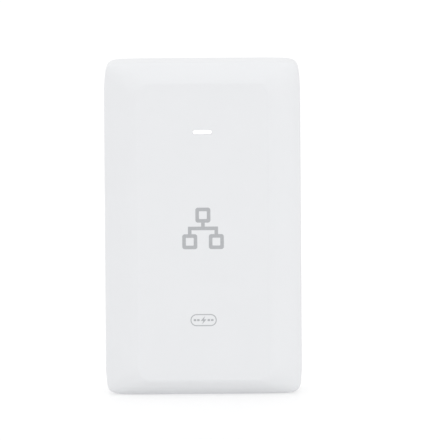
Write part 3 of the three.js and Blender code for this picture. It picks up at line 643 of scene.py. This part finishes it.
MARK_Z = 56.33 * MM
MARK_SIZE = 13.95 * MM
MARK_BOX = 0.36
MARK_LINE = 0.085
MARK_OUTER_CORNER = 0.16
MARK_INNER_CORNER = 0.05
BADGE_Z = 25.45 * MM
BADGE_SIZE = (8.8 * MM, 4.05 * MM)
BADGE_LINE = 0.32 * MM
BADGE_STEPS = 16
BOLT_UNIT = 0.3
BOLT = ((0.4, 1.1), (-0.8, -0.2), (-0.1, -0.2), (-0.4, -1.1), (0.8, 0.2), (0.1, 0.2))
DASH_HALF = (0.44 * MM, 0.34 * MM)
DASH_RADIUS = 0.25 * MM
DASH_START = 0.2
DASH_PITCH = 0.13
PRINT_STEPS = 6


def print_piece(name, outlines):
    """Ink on the front face: thin closed outlines of (x, z) points, some with an inner outline."""
    shaped = bmesh.new()
    back, front = FACE_Y + INK_THICK, FRONT_Y
    for outer, inner in outlines:
        if inner is None:
            lower = [shaped.verts.new((x, back, z)) for x, z in outer]
            upper = [shaped.verts.new((x, front, z)) for x, z in outer]
            shaped.faces.new(upper)
            shaped.faces.new(lower[::-1])
            for i in range(len(outer)):
                j = (i + 1) % len(outer)
                shaped.faces.new((lower[i], lower[j], upper[j], upper[i]))
            continue
        loops = []
        for points, y in ((outer, back), (outer, front), (inner, front), (inner, back)):
            loops.append([shaped.verts.new((x, y, z)) for x, z in points])
        for index in range(4):
            one, two = loops[index], loops[(index + 1) % 4]
            for i in range(len(one)):
                j = (i + 1) % len(one)
                shaped.faces.new((one[i], one[j], two[j], two[i]))
    bmesh.ops.recalc_face_normals(shaped, faces=shaped.faces)
    mesh = bpy.data.meshes.new(name)
    shaped.to_mesh(mesh)
    shaped.free()
    made = bpy.data.objects.new(name, mesh)
    scene.collection.objects.link(made)
    made.data.materials.append(ink)
    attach(made, "housing")
    return made


def bar(x0, x1, z0, z1):
    return ([(x0, z0), (x1, z0), (x1, z1), (x0, z1)], None)


def network_mark(centre_z, size):
    """Three linked boxes, the plain pictogram for a network."""
    box, line = size * MARK_BOX, size * MARK_LINE
    top = centre_z + size / 2
    low = centre_z - size / 2
    middle = (top - box + low + box) / 2
    shapes = []
    for x, z in ((0, top - box), (-size / 2 + box / 2, low), (size / 2 - box / 2, low)):
        at = (x, z + box / 2)
        hole = box - 2 * line
        outer = rounded_rectangle(*at, box, box, box * MARK_OUTER_CORNER, PRINT_STEPS)
        inner = rounded_rectangle(*at, hole, hole, box * MARK_INNER_CORNER, PRINT_STEPS)
        shapes.append((outer, inner))
    reach = size / 2 - box / 2
    shapes.append(bar(-line / 2, line / 2, middle + line / 2, top - box))
    shapes.append(bar(-reach - line / 2, reach + line / 2, middle - line / 2, middle + line / 2))
    for side in (-1, 1):
        x = side * reach
        shapes.append(bar(x - line / 2, x + line / 2, low + box, middle - line / 2))
    return shapes


def badge(centre_z, width, height, line):
    """A pill outline round a power bolt, with two dashes on each side of it."""
    outer = rounded_rectangle(0, centre_z, width, height, height / 2 - ROUND_SLACK, BADGE_STEPS)
    hole = (width - 2 * line, height - 2 * line)
    inner = rounded_rectangle(0, centre_z, *hole, hole[1] / 2 - ROUND_SLACK, BADGE_STEPS)
    unit = height * BOLT_UNIT
    shapes = [(outer, inner), ([(x * unit, centre_z + z * unit) for x, z in BOLT], None)]
    for side in (-1, 1):
        for index in (0, 1):
            x = side * (width * DASH_START + index * width * DASH_PITCH)
            left, right = x - DASH_HALF[0], x + DASH_HALF[0]
            low, high = centre_z - DASH_HALF[1], centre_z + DASH_HALF[1]
            at = ((left + right) / 2, (low + high) / 2)
            dash = rounded_rectangle(*at, right - left, high - low, DASH_RADIUS, PRINT_STEPS)
            shapes.append((dash, None))
    return shapes


print_piece("network_mark", network_mark(MARK_Z, MARK_SIZE))
print_piece("power_badge", badge(BADGE_Z, *BADGE_SIZE, BADGE_LINE))

# ---------------------------------------------------------------- finish of the carried-over CAD nodes


def refine(name, bevel):
    """Breaks a CAD node's edges and smooths its shading, with its shape carried by modifiers only."""
    made = nodes[name]
    weld = made.modifiers.new("weld", "WELD")
    weld.merge_threshold = WELD_REACH
    step = made.modifiers.new("edges", "BEVEL")
    step.width = bevel
    step.segments = BREAK_SEGMENTS
    step.limit_method = "ANGLE"
    step.angle_limit = math.radians(BREAK_ANGLE)
    normals = made.modifiers.new("normals", "WEIGHTED_NORMAL")
    normals.keep_sharp = True
    shade_smooth(made)


WELD_REACH = 1e-6
BREAK_SEGMENTS = 2
BREAK_ANGLE = 30

# The width of each node's broken edges, in mm.
EDGE_BREAKS = {
    "wall_bracket": 0.25,
    "bracket_latch": 0.2,
    "mains_inlet_housing": 0.2,
    "lan_jack_shield": 0.12,
    "poe_jack_shield": 0.12,
    "lan_jack_insert": 0.1,
    "poe_jack_insert": 0.1,
    "lan_jack_contacts": 0.05,
    "poe_jack_contacts": 0.05,
    "heat_spreader": 0.1,
    "insulation_sheet": 0.05,
    "main_board": 0.08,
    "light_pipe": 0.08,
}
EDGE_BREAKS.update({name: 0.08 for name in SCREWS})
EDGE_BREAK_ELSEWHERE = 0.15

for name in nodes:
    if name not in ("front_cover", "rear_cover"):
        refine(name, EDGE_BREAKS.get(name, EDGE_BREAK_ELSEWHERE) * MM)

# ---------------------------------------------------------------- stage and light

# The studio: white all round, with soft broad lobes that add light to a direction or take it away.
STUDIO_WHITE = 1.055
STUDIO_LOBES = (
    {"toward": (0, 0, 1), "sharpness": 2, "strength": 0.03},
    {"toward": (0.87, -0.5, 0.1), "sharpness": 12, "strength": 0.55},
    {"toward": (-0.7, -0.7, 0.1), "sharpness": 6, "strength": 0.1},
    {"toward": (0.7, 0.7, 0.1), "sharpness": 4, "strength": -0.3},
)
FLOOR_REACH = 6
FLOOR_ALBEDO = 0.47
FLOOR_GLOW = 0.43


def make_floor():
    """A wide pale floor that glows a little, like a light table."""
    verts = [(x * FLOOR_REACH, y * FLOOR_REACH, 0) for x, y in ((-1, -1), (1, -1), (1, 1), (-1, 1))]
    floor = new_object("floor", verts, [(0, 1, 2, 3)])
    material, tree, shader = principled("floor")
    shader.inputs["Base Color"].default_value = grey(FLOOR_ALBEDO)
    shader.inputs["Roughness"].default_value = 0.4
    shader.inputs["Specular IOR Level"].default_value = 0.5
    shader.inputs["Emission Color"].default_value = grey(1)
    shader.inputs["Emission Strength"].default_value = FLOOR_GLOW
    floor.data.materials.append(material)


def make_studio():
    world = bpy.data.worlds.new("studio")
    world.use_nodes = True
    tree = world.node_tree
    direction = node(tree, "ShaderNodeTexCoord").outputs["Generated"]
    total = None
    for lobe in STUDIO_LOBES:
        facing = node(tree, "ShaderNodeVectorMath", operation="DOT_PRODUCT")
        tree.links.new(direction, facing.inputs[0])
        facing.inputs[1].default_value = Vector(lobe["toward"]).normalized()
        front = node(tree, "ShaderNodeMath", operation="MAXIMUM")
        tree.links.new(facing.outputs["Value"], front.inputs[0])
        front.inputs[1].default_value = 0
        falloff = node(tree, "ShaderNodeMath", operation="POWER")
        tree.links.new(front.outputs[0], falloff.inputs[0])
        falloff.inputs[1].default_value = lobe["sharpness"]
        weighed = node(tree, "ShaderNodeMath", operation="MULTIPLY_ADD")
        tree.links.new(falloff.outputs[0], weighed.inputs[0])
        weighed.inputs[1].default_value = lobe["strength"]
        weighed.inputs[2].default_value = STUDIO_WHITE
        if total:
            tree.links.new(total, weighed.inputs[2])
        total = weighed.outputs[0]
    background = tree.nodes["Background"]
    background.inputs["Color"].default_value = grey(1)
    tree.links.new(total, background.inputs["Strength"])
    scene.world = world


make_floor()
make_studio()

scene.view_settings.view_transform = "Standard"
scene.view_settings.look = "None"
